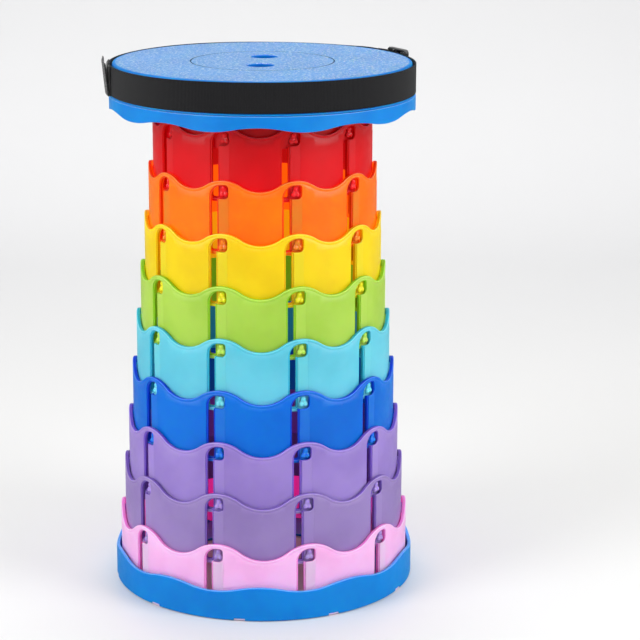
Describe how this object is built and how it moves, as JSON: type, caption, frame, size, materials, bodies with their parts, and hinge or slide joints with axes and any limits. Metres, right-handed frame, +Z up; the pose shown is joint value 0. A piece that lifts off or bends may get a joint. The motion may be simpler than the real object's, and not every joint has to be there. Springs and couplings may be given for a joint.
{
  "type": "telescopic folding stool",
  "caption": "Collapsible telescopic stool with a round grained seat, a stack of coloured scalloped rings with hooked slots, a foot ring, a webbing strap and a carry handle.",
  "frame": {"origin": "on the floor, on the axis of the rings, in the middle of the foot ring", "axes": "+Z up along the axis of the rings, -Y the front of the picture, +X to the right"},
  "size_m": [0.264, 0.3143, 0.4524],
  "materials": {
    "red_plastic": "satin",
    "orange_plastic": "satin",
    "yellow_plastic": "satin",
    "green_plastic": "satin",
    "cyan_plastic": "satin",
    "blue_plastic": "satin",
    "lavender_plastic": "satin",
    "purple_plastic": "satin",
    "pink_plastic": "satin",
    "shell_plastic": "fine pebble grain",
    "pad_rubber": "matt",
    "webbing": "ribbed webbing",
    "closure": "hook and loop",
    "black_plastic": "satin",
    "screw_steel": "zinc plated"
  },
  "bodies": {
    "base": {"base_ring": "shell_plastic", "ring_pink": "pink_plastic", "foot_pads": "pad_rubber"},
    "purple": {"ring_purple": "purple_plastic"},
    "lavender": {"ring_lavender": "lavender_plastic"},
    "blue": {"ring_blue": "blue_plastic"},
    "cyan": {"ring_cyan": "cyan_plastic"},
    "green": {"ring_green": "green_plastic"},
    "yellow": {"ring_yellow": "yellow_plastic"},
    "orange": {"ring_orange": "orange_plastic"},
    "red": {"ring_red": "red_plastic"},
    "seat": {"seat_cover": "shell_plastic", "seat_insert": "shell_plastic", "seat_skirt": "shell_plastic", "seat_collar": "red_plastic", "collar_screws": "screw_steel", "strap_band": "webbing", "strap_bight": "webbing", "carry_handle": "webbing", "tri_glide": "black_plastic", "hook_patch": "closure", "strap_tail": "webbing"}
  },
  "joints": [
    {"name": "purple_slide", "type": "slide", "parent": "base", "child": "purple", "axis": [0, 0, 1], "range_m": [-0.043, 0]},
    {"name": "lavender_slide", "type": "slide", "parent": "purple", "child": "lavender", "axis": [0, 0, 1], "range_m": [-0.043, 0]},
    {"name": "blue_slide", "type": "slide", "parent": "lavender", "child": "blue", "axis": [0, 0, 1], "range_m": [-0.043, 0]},
    {"name": "cyan_slide", "type": "slide", "parent": "blue", "child": "cyan", "axis": [0, 0, 1], "range_m": [-0.043, 0]},
    {"name": "green_slide", "type": "slide", "parent": "cyan", "child": "green", "axis": [0, 0, 1], "range_m": [-0.043, 0]},
    {"name": "yellow_slide", "type": "slide", "parent": "green", "child": "yellow", "axis": [0, 0, 1], "range_m": [-0.043, 0]},
    {"name": "orange_slide", "type": "slide", "parent": "yellow", "child": "orange", "axis": [0, 0, 1], "range_m": [-0.043, 0]},
    {"name": "red_slide", "type": "slide", "parent": "orange", "child": "red", "axis": [0, 0, 1], "range_m": [-0.043, 0]},
    {"name": "seat_slide", "type": "slide", "parent": "red", "child": "seat", "axis": [0, 0, 1], "range_m": [-0.0383, 0]}
  ]
}
